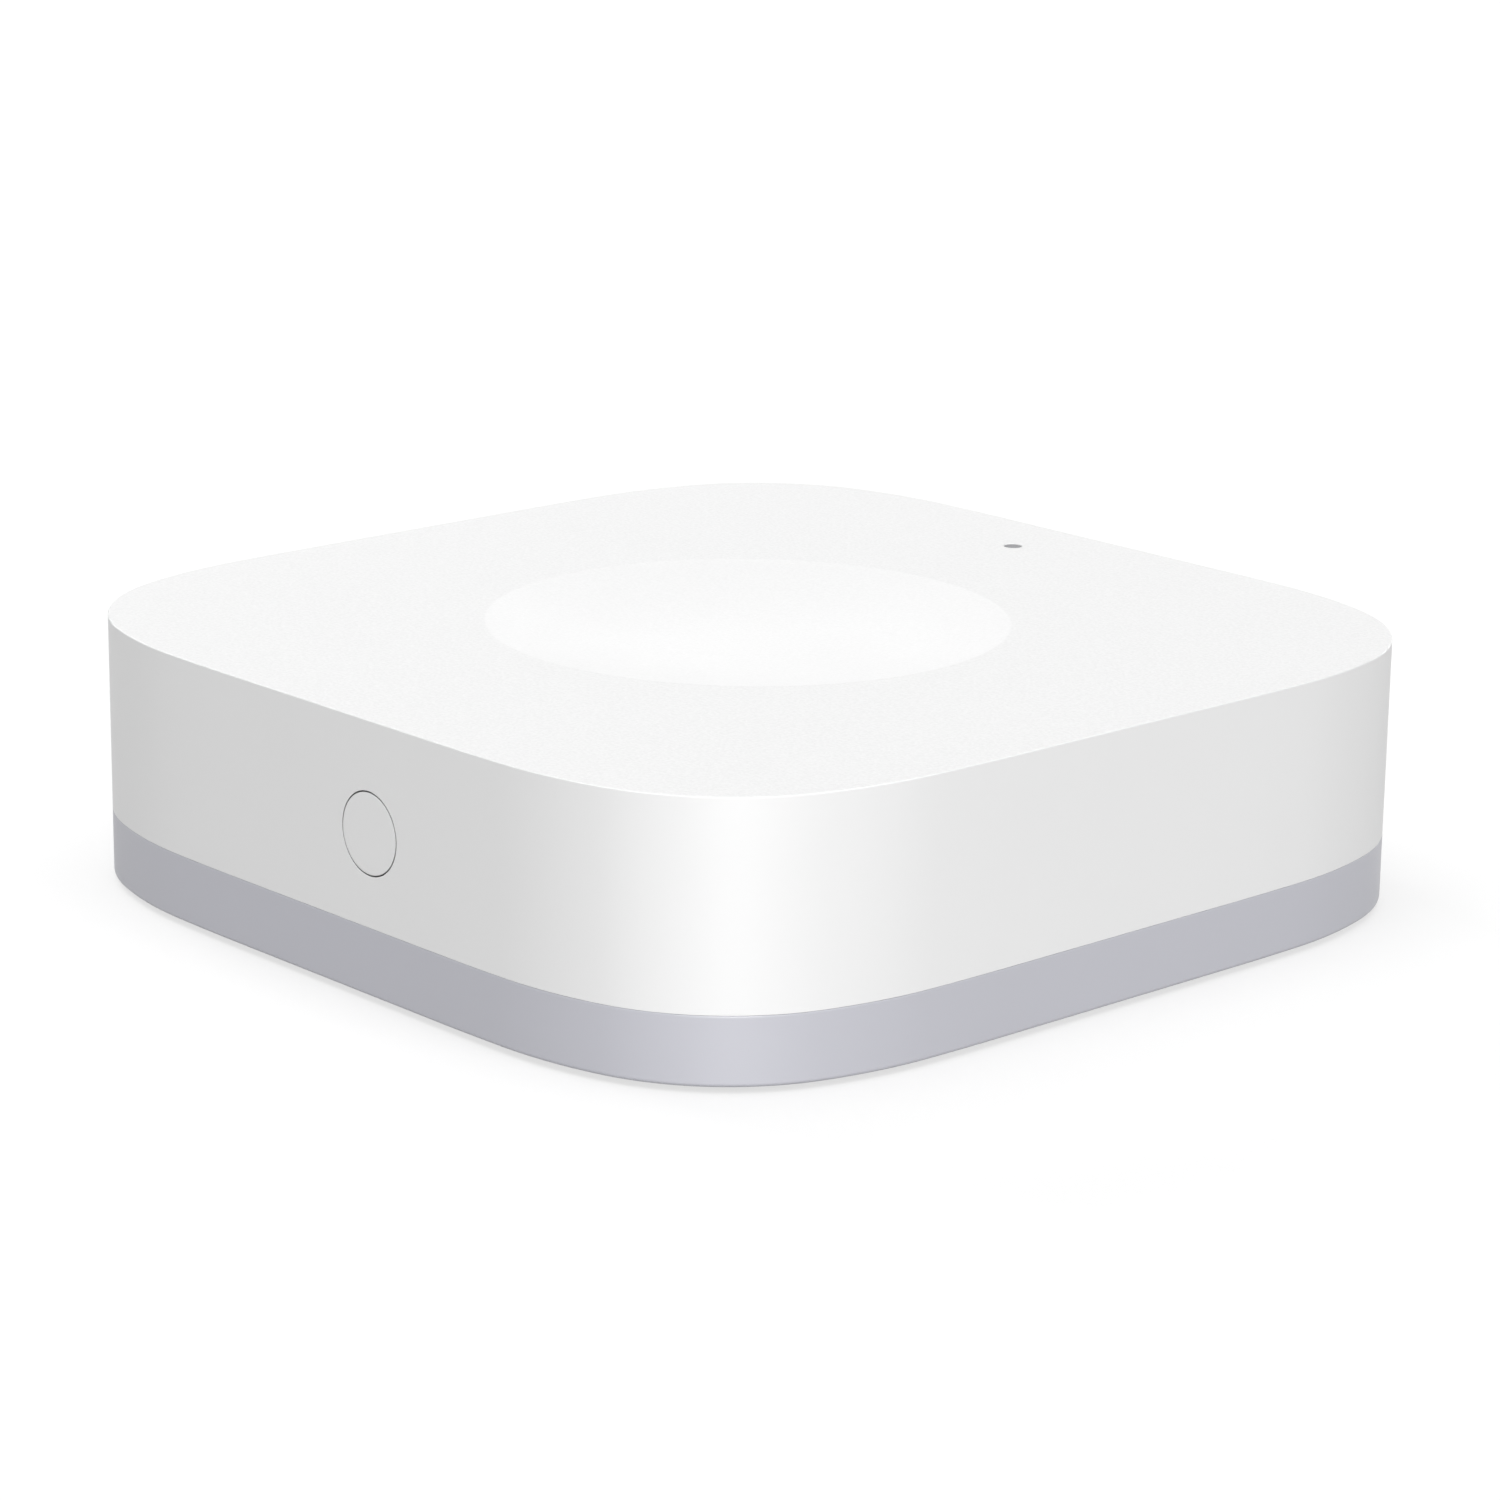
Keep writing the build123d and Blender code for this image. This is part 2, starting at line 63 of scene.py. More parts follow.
# ------------------------------------------------------------------ camera
CAM_AT = Vector((0.25131, -0.22979, 0.10542))
CAM_RIGHT = Vector((0.67287657, 0.73965267, 0.01228987))
CAM_UP = Vector((-0.20684541, 0.17216862, 0.96310588))
CAM_FORWARD = Vector((-0.71024791, 0.65059349, -0.26884199))
cam_data = bpy.data.cameras.new("hub_camera")
cam_data.sensor_width = 36.0
cam_data.lens = 110.95
cam_data.clip_start = 0.01
cam_data.clip_end = 20.0
cam = bpy.data.objects.new("hub_camera", cam_data)
turn = Matrix((CAM_RIGHT, CAM_UP, -CAM_FORWARD)).transposed().to_4x4()
cam.matrix_world = Matrix.Translation(CAM_AT) @ turn
scene.collection.objects.link(cam)
scene.camera = cam
scene.view_settings.view_transform = "Standard"
scene.view_settings.look = "None"
scene.view_settings.exposure = 0.0
scene.view_settings.gamma = 1.0


# ------------------------------------------------------------------ material kit
class Nodes:
    """A material's node tree with a few short ways to add to it."""

    def __init__(self, name):
        self.mat = bpy.data.materials.new(name)
        self.mat.use_nodes = True
        self.tree = self.mat.node_tree
        self.bsdf = next(n for n in self.tree.nodes if n.type == "BSDF_PRINCIPLED")
        self.coord = self.add("ShaderNodeTexCoord")

    def add(self, kind, **props):
        n = self.tree.nodes.new(kind)
        for k, v in props.items():
            setattr(n, k, v)
        return n

    def link(self, a, b):
        self.tree.links.new(a, b)

    def noise(self, scale, detail=2.0, rough=0.5, stretch=None):
        n = self.add("ShaderNodeTexNoise")
        n.inputs["Scale"].default_value = scale
        n.inputs["Detail"].default_value = detail
        n.inputs["Roughness"].default_value = rough
        src = self.coord.outputs["Object"]
        if stretch:
            m = self.add("ShaderNodeMapping")
            m.inputs["Scale"].default_value = stretch
            self.link(src, m.inputs["Vector"])
            src = m.outputs["Vector"]
        self.link(src, n.inputs["Vector"])
        return n.outputs["Fac"]

    def ramp(self, src, lo, hi, a=0.35, b=0.65):
        """Maps src from a..b to lo..hi."""
        n = self.add("ShaderNodeMapRange")
        n.inputs["From Min"].default_value = a
        n.inputs["From Max"].default_value = b
        n.inputs["To Min"].default_value = lo
        n.inputs["To Max"].default_value = hi
        self.link(src, n.inputs["Value"])
        return n.outputs["Result"]

    def mix(self, fac, c1, c2):
        n = self.add("ShaderNodeMix", data_type="RGBA")
        for i, c in ((6, c1), (7, c2)):
            if isinstance(c, (tuple, list)):
                n.inputs[i].default_value = (*c[:3], 1.0)
            else:
                self.link(c, n.inputs[i])
        if isinstance(fac, (int, float)):
            n.inputs[0].default_value = fac
        else:
            self.link(fac, n.inputs[0])
        return n.outputs[2]

    def math(self, op, a, b=None, clamp=False):
        n = self.add("ShaderNodeMath", operation=op, use_clamp=clamp)
        for i, v in ((0, a), (1, b)):
            if v is None:
                continue
            if isinstance(v, (int, float)):
                n.inputs[i].default_value = v
            else:
                self.link(v, n.inputs[i])
        return n.outputs[0]

    def bump(self, height, strength, distance, under=None):
        n = self.add("ShaderNodeBump")
        n.inputs["Strength"].default_value = strength
        n.inputs["Distance"].default_value = distance
        self.link(height, n.inputs["Height"])
        if under is not None:
            self.link(under, n.inputs["Normal"])
        return n.outputs["Normal"]

    def xyz(self):
        n = self.add("ShaderNodeSeparateXYZ")
        self.link(self.coord.outputs["Object"], n.inputs["Vector"])
        return n.outputs

    def set(self, **values):
        for k, v in values.items():
            s = self.bsdf.inputs[k.replace("_", " ")]
            if isinstance(v, bpy.types.NodeSocket):
                self.link(v, s)
            elif isinstance(v, (tuple, list)):
                s.default_value = (*v[:3], 1.0)
            else:
                s.default_value = v


def shade(c, k):
    return tuple(min(1.0, x * k) for x in c)


def moulded(name, color, rough, grain, grain_depth, spread=0.012, spec=0.5, coat=0.0):
    """Moulded plastic: fine surface grain, slow drift in colour and gloss."""
    m = Nodes(name)
    slow = m.noise(90.0, 3.0)
    fine = m.noise(grain, 2.0, 0.6)
    m.set(Base_Color=m.mix(m.ramp(slow, 0.0, 1.0), shade(color, 1.0 - spread), shade(color, 1.0 + spread)))
    gloss = m.math("ADD", m.ramp(slow, rough - 0.03, rough + 0.03), m.ramp(fine, -0.04, 0.04))
    m.set(Roughness=gloss, Normal=m.bump(fine, 0.6, grain_depth))
    m.bsdf.inputs["Specular IOR Level"].default_value = spec
    if coat:
        m.bsdf.inputs["Coat Weight"].default_value = coat
        m.bsdf.inputs["Coat Roughness"].default_value = 0.3
    return m


WHITE = (0.78, 0.78, 0.78)
BASE = (0.490, 0.492, 0.536)


def from_button(m, x, z):
    """Distance from the button's axis."""
    dx, dz = m.math("SUBTRACT", x, 0.00475), m.math("SUBTRACT", z, 0.01244)
    return m.math("SQRT", m.math("ADD", m.math("MULTIPLY", dx, dx), m.math("MULTIPLY", dz, dz)))


def cover_material():
    """Spark-textured top, smoother in the dish, satin walls: told apart by where the point lies on the part."""
    m = Nodes("cover_white_plastic")
    x, y, z = m.xyz()
    radius = m.math("SQRT", m.math("ADD", m.math("MULTIPLY", x, x), m.math("MULTIPLY", y, y)))
    normal = m.add("ShaderNodeSeparateXYZ")
    m.link(m.coord.outputs["Normal"], normal.inputs["Vector"])
    up = m.ramp(normal.outputs[2], 0.0, 1.0, 0.80, 0.93)
    high = m.ramp(z, 0.0, 1.0, 0.0185, 0.0188)
    textured = m.math("MULTIPLY", up, high, clamp=True)
    dish = m.ramp(radius, 1.0, 0.0, 0.01985, 0.02005)
    slow = m.noise(70.0, 3.0)
    grain = m.noise(4000.0, 2.0, 0.6)
    satin = m.noise(9000.0, 1.0, 0.5)
    body = m.mix(m.ramp(slow, 0.0, 1.0), shade(WHITE, 0.994), shade(WHITE, 1.004))
    speck = m.mix(m.ramp(grain, 0.0, 1.0, 0.30, 0.72), shade(WHITE, 0.935), shade(WHITE, 1.025))
    # painted light: the dish is coloured about 1 % lighter than the rest of the top, standing in for its brighter
    # shading
    speck = m.mix(m.math("MULTIPLY", dish, 0.3), speck, shade(WHITE, 1.045))
    # painted shade down the wall of the button's hole, darkest at the mouth, standing in for the dark gap round the
    # button
    inside = m.math("MULTIPLY", m.ramp(y, 0.0, 1.0, -0.039990, -0.039975), m.ramp(y, 1.0, 0.0, -0.0355, -0.0350))
    seam = m.math("MULTIPLY", m.ramp(from_button(m, x, z), 1.0, 0.0, 0.003116, 0.003126), inside)
    depth = m.ramp(y, 0.0, 1.0, -0.03985, -0.03965)
    painted_seam_shade = m.mix(depth, (0.36, 0.36, 0.36), (0.52, 0.52, 0.52))
    m.set(Base_Color=m.mix(seam, m.mix(textured, body, speck), painted_seam_shade))
    coarse = m.math("MULTIPLY", textured, m.math("SUBTRACT", 1.0, m.math("MULTIPLY", dish, 0.75)))
    rough = m.math("ADD", m.math("MULTIPLY", coarse, 0.22), m.ramp(slow, 0.36, 0.41))
    m.set(Roughness=rough)
    height = m.math("ADD", m.math("MULTIPLY", textured, grain), m.math("MULTIPLY", satin, 0.12))
    m.set(Normal=m.bump(height, 0.55, 0.000030))
    return m.mat


def metal(name, color, rough, stretch=(1.0, 1.0, 14.0), scale=2600.0, depth=0.000004, spread=0.06):
    """Sheet or turned metal: drawn grain, slow tarnish."""
    m = Nodes(name)
    line = m.noise(scale, 3.0, 0.6, stretch)
    slow = m.noise(350.0, 3.0)
    m.set(Base_Color=m.mix(m.ramp(slow, 0.0, 1.0), shade(color, 1.0 - spread), shade(color, 1.0 + spread)))
    m.set(Roughness=m.math("ADD", m.ramp(line, rough - 0.06, rough + 0.06), m.ramp(slow, -0.04, 0.05)))
    m.bsdf.inputs["Metallic"].default_value = 1.0
    m.set(Normal=m.bump(line, 0.5, depth))
    return m.mat


def board_material():
    """Solder mask over fibreglass weave, with copper tracks showing as a faint raised pattern."""
    m = Nodes("board_solder_mask")
    x, y, z = m.xyz()
    wx = m.math("SINE", m.math("MULTIPLY", x, 9000.0))
    wy = m.math("SINE", m.math("MULTIPLY", y, 9000.0))
    weave = m.math("MULTIPLY", wx, wy)
    cell = m.add("ShaderNodeTexVoronoi", feature="DISTANCE_TO_EDGE")
    cell.inputs["Scale"].default_value = 420.0
    m.link(m.coord.outputs["Object"], cell.inputs["Vector"])
    track = m.ramp(cell.outputs["Distance"], 1.0, 0.0, 0.04, 0.07)
    slow = m.noise(160.0, 3.0)
    mask = m.mix(m.ramp(slow, 0.0, 1.0), (0.010, 0.075, 0.035), (0.014, 0.095, 0.045))
    m.set(Base_Color=m.mix(m.math("MULTIPLY", track, 0.65), mask, (0.035, 0.17, 0.075)))
    m.set(Roughness=m.math("ADD", m.ramp(slow, 0.27, 0.36), m.math("MULTIPLY", track, -0.05)))
    height = m.math("ADD", m.math("MULTIPLY", track, 1.0), m.math("MULTIPLY", weave, 0.15))
    m.set(Normal=m.bump(height, 0.5, 0.000020))
    return m.mat


def button_material():
    """Satin plastic, with painted shade down the side of the cap where it runs in its hole."""
    m = moulded("button_satin_white", WHITE, 0.38, 9000.0, 0.000004, 0.004)
    x, y, z = m.xyz()
    # painted shade: the side of the cap is coloured dark grey, standing in for the shade in the gap
    painted_cap_side_shade = m.ramp(from_button(m, x, z), 0.0, 1.0, 0.002978, 0.002990)
    face = m.bsdf.inputs["Base Color"].links[0].from_socket
    m.set(Base_Color=m.mix(painted_cap_side_shade, face, (0.32, 0.32, 0.32)))
    return m.mat


def smoke_material():
    m = moulded("lens_frosted_grey", (0.27, 0.27, 0.28), 0.60, 7000.0, 0.000004, 0.03, 0.12)
    m.bsdf.inputs["Subsurface Weight"].default_value = 0.15
    m.bsdf.inputs["Subsurface Radius"].default_value = (0.0006, 0.0006, 0.0006)
    m.bsdf.inputs["Subsurface Scale"].default_value = 1.0
    return m.mat


MATERIALS = {
    "cover_white": cover_material(),
    "base_grey_blue": moulded("base_satin_grey_blue", BASE, 0.38, 7500.0, 0.000006, 0.006).mat,
    "button_white": button_material(),
    "lens_smoke": smoke_material(),
    "foot_rubber": moulded("foot_silicone_rubber", (0.27, 0.275, 0.29), 0.72, 2600.0, 0.000030, 0.06, 0.3).mat,
    "label_film": moulded("label_matte_film", (0.60, 0.61, 0.63), 0.55, 6000.0, 0.000004, 0.02).mat,
    "steel": metal("plated_steel", (0.58, 0.58, 0.57), 0.30),
    "board_green": board_material(),
    "contact_gold": metal("contact_gold_plate", (0.83, 0.60, 0.22), 0.24),
    "chip_black": moulded("chip_moulded_epoxy", (0.022, 0.022, 0.024), 0.55, 5000.0, 0.000012, 0.12).mat,
    "insulator_black": moulded("insulator_nylon", (0.018, 0.018, 0.019), 0.42, 4200.0, 0.000008, 0.12).mat,
    "aluminium": metal("aluminium_anodised", (0.66, 0.67, 0.69), 0.36, (1.0, 16.0, 1.0)),
    "ferrite": moulded("ferrite_pressed", (0.045, 0.045, 0.048), 0.62, 3200.0, 0.000025, 0.20).mat,
    "ceramic_tan": moulded("ceramic_chip", (0.36, 0.24, 0.13), 0.40, 5200.0, 0.000006, 0.12).mat,
    "thermal_grey": moulded("thermal_gap_pad", (0.22, 0.25, 0.30), 0.68, 2400.0, 0.000030, 0.08).mat,
    "film_black": moulded("film_polyester_black", (0.014, 0.014, 0.015), 0.22, 900.0, 0.000010, 0.10).mat,
    "led_white": moulded("led_phosphor", (0.82, 0.74, 0.40), 0.30, 5200.0, 0.000004, 0.05).mat,
}

# ------------------------------------------------------------------ mesh kit
# Millimetres here; to_object() writes metres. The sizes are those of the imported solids.
HALF, Z_BOT, Z_PART, Z_TOP = 40.0, 0.4, 5.5, 20.7
R1, TH1, R2, TH2, R3 = 194.2, math.radians(2.07), 32.9, math.radians(15.43), 16.15
WALL, Z_CEIL, DISH_R, DISH_DEPTH = 2.0, 18.7, 20.0, 1.5
BASE_WALL, Z_FLOOR, LIP_TOP = 3.3, 2.2, 6.7
BTN_X, BTN_Z = 4.75, 12.44
LED_X, LED_Y = -4.5, 33.2
PORT_X, PORT_Z = 7.0, 11.63
CORNERS = [(27.0, 27.0), (-27.0, 27.0), (-27.0, -27.0), (27.0, -27.0)]
BOARD_SCREWS = [(-30.0, 14.0), (30.0, 14.0), (-30.0, -14.0), (30.0, -14.0)]


def outline():
    """Points and outward normals round the hub's outline, the same count for every inset."""
    t1, t2 = TH1, TH1 + TH2
    x = HALF - R1 + (R1 - R2) * math.cos(t1) + (R2 - R3) * math.cos(t2)
    y0 = (R1 - R2) * math.sin(t1) + (R2 - R3) * math.sin(t2)
    flat = x - y0
    c1 = Vector((HALF - R1, flat))
    c2 = c1 + (R1 - R2) * Vector((math.cos(t1), math.sin(t1)))
    c3 = c2 + (R2 - R3) * Vector((math.cos(t2), math.sin(t2)))

    def arc(c, r, a, b, n):
        return [(c + r * Vector((math.cos(v), math.sin(v))), Vector((math.cos(v), math.sin(v)))) for v in (a + (b - a) * i / n for i in range(n))]

    flip = lambda pn: (Vector((pn[0].y, pn[0].x)), Vector((pn[1].y, pn[1].x)))
    quarter = [(Vector((HALF, -flat + 2 * flat * i / 14)), Vector((1.0, 0.0))) for i in range(14)]
    quarter += arc(c1, R1, 0.0, t1, 5) + arc(c2, R2, t1, t2, 12) + arc(c3, R3, t2, math.pi / 2 - t2, 34)
    back = arc(c2, R2, t2, t1, 12) + arc(c1, R1, t1, 0.0, 5)
    quarter += [flip(pn) for pn in back]
    ring = []
    for k in range(4):
        q = Matrix.Rotation(k * math.pi / 2, 2)
        ring += [(q @ p, q @ n) for p, n in quarter]
    return ring


OUTLINE = outline()
N = len(OUTLINE)


def ring(inset, z):
    return [Vector((p.x - n.x * inset, p.y - n.y * inset, z)) for p, n in OUTLINE]


def circle_ring(r, z):
    """A circle with the outline's point count, each point on the line from the centre to the outline's point."""
    return [Vector((p.x / p.length * r, p.y / p.length * r, z)) for p, n in OUTLINE]


def between(a, b, t):
    return [u.lerp(v, t) for u, v in zip(a, b)]


def loft(rings, first=None, last=None):
    """Closed skin over rings of equal length, with a point at each end where given."""
    bm = bmesh.new()
    made = [[bm.verts.new(p) for p in r] for r in rings]
    n = len(rings[0])
    for r, s in zip(made, made[1:]):
        for i in range(n):
            bm.faces.new((r[i], r[(i + 1) % n], s[(i + 1) % n], s[i]))
    for tip, r, order in ((first, made[0], -1), (last, made[-1], 1)):
        if tip is None:
            f = bm.faces.new(r[::order])
        else:
            v = bm.verts.new(tip)
            for i in range(n):
                t = (r[i], r[(i + 1) % n], v)
                bm.faces.new(t[::order])
    bmesh.ops.recalc_face_normals(bm, faces=bm.faces)
    return bm


def lathe(profile, centre, axis="z", n=96):
    """Turns (radius, height) pairs about an axis through centre. The ends close to the axis."""
    rings = []
    for r, h in profile:
        pts = []
        for i in range(n):
            a = 2 * math.pi * i / n
            u, v = r * math.cos(a), r * math.sin(a)
            pts.append(Vector(centre) + (Vector((u, v, h)) if axis == "z" else Vector((u, h, v))))
        rings.append(pts)
    return loft(rings)


def rounded(w, h, r, n=8):
    """Rounded rectangle, centred, as 2-D points."""
    pts = []
    for k, (sx, sy) in enumerate(((1, 1), (-1, 1), (-1, -1), (1, -1))):
        for i in range(n + 1):
            a = math.pi / 2 * (k + i / n)
            pts.append((sx * (w / 2 - r) + r * math.cos(a), sy * (h / 2 - r) + r * math.sin(a)))
    return pts


def prism(levels, place):
    """Loft through 2-D outlines: levels is [(points, height), ...], place maps (u, v, height) to a point."""
    return loft([[Vector(place(u, v, h)) for u, v in pts] for pts, h in levels])


def to_object(bm, name):
    bmesh.ops.scale(bm, vec=(0.001, 0.001, 0.001), verts=bm.verts)
    mesh = bpy.data.meshes.new(name)
    bm.to_mesh(mesh)
    bm.free()
    o = bpy.data.objects.new(name, mesh)
    scene.collection.objects.link(o)
    return o


def combine(target, tools, operation):
    """One exact boolean of target with a whole collection of closed tools, applied."""
    group = bpy.data.collections.new("tools")
    scene.collection.children.link(group)
    for i, bm in enumerate(tools):
        o = to_object(bm, f"tool_{i}")
        scene.collection.objects.unlink(o)
        group.objects.link(o)
    mod = target.modifiers.new("combine", "BOOLEAN")
    mod.operation = operation
    mod.operand_type = "COLLECTION"
    mod.collection = group
    mod.solver = "EXACT"
    bpy.context.view_layer.update()
    done = bpy.data.meshes.new_from_object(target.evaluated_get(bpy.context.evaluated_depsgraph_get()))
    target.modifiers.clear()
    old = target.data
    target.data = done
    done.name = old.name
    bpy.data.meshes.remove(old)
    for o in list(group.objects):
        m = o.data
        bpy.data.objects.remove(o)
        bpy.data.meshes.remove(m)
    bpy.data.collections.remove(group)
    return target


def finish_piece(o, mat, body, node, angle=28.0):
    """Cleans the mesh, sets smooth shading with sharp edges past angle, and ties the piece to the frame."""
    bm = bmesh.new()
    bm.from_mesh(o.data)
    bmesh.ops.remove_doubles(bm, verts=bm.verts, dist=1e-7)
    bmesh.ops.dissolve_degenerate(bm, edges=bm.edges, dist=1e-7)
    bm.to_mesh(o.data)
    bm.free()
    for p in o.data.polygons:
        p.use_smooth = True
    o.data.set_sharp_from_angle(angle=math.radians(angle))
    wn = o.modifiers.new("weighted_normals", "WEIGHTED_NORMAL")
    wn.keep_sharp = True
    wn.weight = 50
    o.data.materials.clear()
    o.data.materials.append(mat)
    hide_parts(node)
    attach(o, body)
    return o


def fillet_arc(r, n, start, end):
    """Offsets (1 - cos, sin) style points of a quarter round of radius r, from start to end in degrees."""
    return [(r * math.cos(math.radians(start + (end - start) * i / n)), r * math.sin(math.radians(start + (end - start) * i / n))) for i in range(n + 1)]


def box_bm(x0, x1, y0, y1, z0, z1, turn=None, at=None):
    bm = bmesh.new()
    bmesh.ops.create_cube(bm, size=1.0)
    bmesh.ops.scale(bm, vec=(x1 - x0, y1 - y0, z1 - z0), verts=bm.verts)
    bmesh.ops.translate(bm, vec=((x0 + x1) / 2, (y0 + y1) / 2, (z0 + z1) / 2), verts=bm.verts)
    if turn is not None:
        bmesh.ops.rotate(bm, cent=(0, 0, 0), matrix=Matrix.Rotation(turn, 3, "Z"), verts=bm.verts)
    if at is not None:
        bmesh.ops.translate(bm, vec=at, verts=bm.verts)
    return bm


def bowl(r, depth, z_rim, steps):
    """Rings of a spherical cap below z_rim, from the rim inwards, and its lowest point."""
    big = (r * r + depth * depth) / (2 * depth)
    zc = z_rim - depth + big
    return [circle_ring(r * (1 - i / steps), zc - math.sqrt(big * big - (r * (1 - i / steps)) ** 2)) for i in range(steps)], Vector((0, 0, z_rim - depth))


# ------------------------------------------------------------------ top cover
def build_cover():
    er, mr = 0.1, 0.04
    # inside: bulged ceiling, then down the inner wall
    in_bowl, in_tip = bowl(DISH_R + 1.2, DISH_DEPTH, Z_CEIL, 14)
    rings = in_bowl[::-1]
    ceiling = ring(WALL, Z_CEIL)
    rings += [between(in_bowl[0], ceiling, t) for t in (0.5, 1.0)]
    rings += [ring(WALL, z) for z in (12.0, Z_PART)]
    # outside: up the wall, round the top edge, across the top and down into the dish
    rings += [ring(mr, Z_PART), ring(mr * 0.3, Z_PART + mr * 0.3), ring(0.0, Z_PART + mr)]
    rings += [ring(0.0, z) for z in (9.0, 13.0, 17.0)]
    for c, s in fillet_arc(er, 9, 0.0, 90.0):
        rings.append(ring(er - c, Z_TOP - er + s))
    edge = rings[-1]
    out_bowl, out_tip = bowl(DISH_R, DISH_DEPTH, Z_TOP, 30)
    lip = circle_ring(DISH_R + 0.019, Z_TOP)
    rings += [between(edge, lip, t) for t in (0.04, 0.25, 0.5, 0.75, 0.96, 1.0)]
    big = (DISH_R**2 + DISH_DEPTH**2) / (2 * DISH_DEPTH)
    slope = DISH_R / math.sqrt(big * big - DISH_R**2)
    rings.append(circle_ring(DISH_R, Z_TOP - 0.0012))
    rings.append(circle_ring(DISH_R - 0.019, Z_TOP - 0.019 * slope))
    rings += out_bowl[1:]
    o = to_object(loft(rings, first=in_tip, last=out_tip), "top_cover_moulding")

    add = []
    for x, y in CORNERS:
        add.append(lathe([(3.0, 7.4), (3.2, 7.6), (3.2, Z_CEIL + 0.2)], (x, y, 0), n=48))
    for x, y in BOARD_SCREWS:
        add.append(lathe([(2.5, 10.0), (2.6, 10.1), (2.6, Z_CEIL + 0.2)], (x, y, 0), n=48))
    add.append(lathe([(2.3, 14.0), (2.3, Z_CEIL + 0.2)], (LED_X, LED_Y, 0), n=48))
    add.append(lathe([(4.7, -38.6), (4.7, -35.6)], (BTN_X, 0, BTN_Z), "y", n=72))
    add.append(prism([(rounded(15.4, 9.6, 2.8), 34.0), (rounded(15.4, 9.6, 2.8), 38.4)], lambda u, v, h: (PORT_X + u, h, PORT_Z + v)))
    for y in (-24.0, 24.0):
        add.append(box_bm(-23.5, 23.5, y - 0.5, y + 0.5, 16.9, Z_CEIL + 0.2))
    for x in (-24.5, 24.5):
        add.append(box_bm(x - 0.5, x + 0.5, -23.5, 23.5, 16.9, Z_CEIL + 0.2))
    for x, y in CORNERS:
        sx, sy = (1 if x > 0 else -1), (1 if y > 0 else -1)
        add.append(box_bm(-3.2, 2.6, -0.6, 0.6, 14.4, Z_CEIL + 0.1, turn=math.pi / 4 * sx * sy if sx > 0 else math.pi / 4 * sx * sy + math.pi, at=(sx * 31.2, sy * 31.2, 0)))
    combine(o, add, "UNION")

    cut = []
    for x, y in CORNERS:
        cut.append(lathe([(1.25, 7.0), (1.25, 7.4), (1.05, 7.7), (1.05, 14.0)], (x, y, 0), n=36))
    for x, y in BOARD_SCREWS:
        cut.append(lathe([(0.95, 9.5), (0.95, 10.0), (0.85, 10.2), (0.85, 15.6)], (x, y, 0), n=36))
    # light hole: bore with a softened mouth, wider bore for the pipe's body below
    f = 0.08
    mouth = [(0.75, 18.6)] + [(0.75 + f - c, Z_TOP - f + s) for c, s in fillet_arc(f, 4, 0.0, 90.0)] + [(0.75 + f, Z_TOP + 1.0)]
    cut.append(lathe(mouth, (LED_X, LED_Y, 0), n=64))
    cut.append(lathe([(1.26, 13.0), (1.26, 18.75)], (LED_X, LED_Y, 0), n=64))
    # button hole with a softened mouth
    f = 0.025
    hole = [(3.1 + f, -41.0)] + [(3.1 + f - c, -HALF + f - s) for c, s in reversed(fillet_arc(f, 4, 0.0, 90.0))] + [(3.1, -35.0)]
    cut.append(lathe(hole, (BTN_X, 0, BTN_Z), "y", n=128))
    # port recess with a lead-in, and the slot for the receptacle's shell
    place = lambda u, v, h: (PORT_X + u, h, PORT_Z + v)
    f = 0.35
    levels = [(rounded(13.0, 7.2, 1.6, 12), 35.2)]
    for c, s in fillet_arc(f, 6, 0.0, 90.0):
        grow = 2 * (f - c)
        levels.append((rounded(13.0 + grow, 7.2 + grow, 1.6 + grow / 2, 12), HALF - f + s))
    levels.append((rounded(13.0 + 2 * f, 7.2 + 2 * f, 1.6 + f, 12), 41.0))
    cut.append(prism(levels, place))
    cut.append(prism([(rounded(9.34, 3.60, 1.799, 12), 33.0), (rounded(9.34, 3.60, 1.799, 12), 36.0)], place))
    combine(o, cut, "DIFFERENCE")
    return finish_piece(o, MATERIALS["cover_white"], "housing", "top_cover")


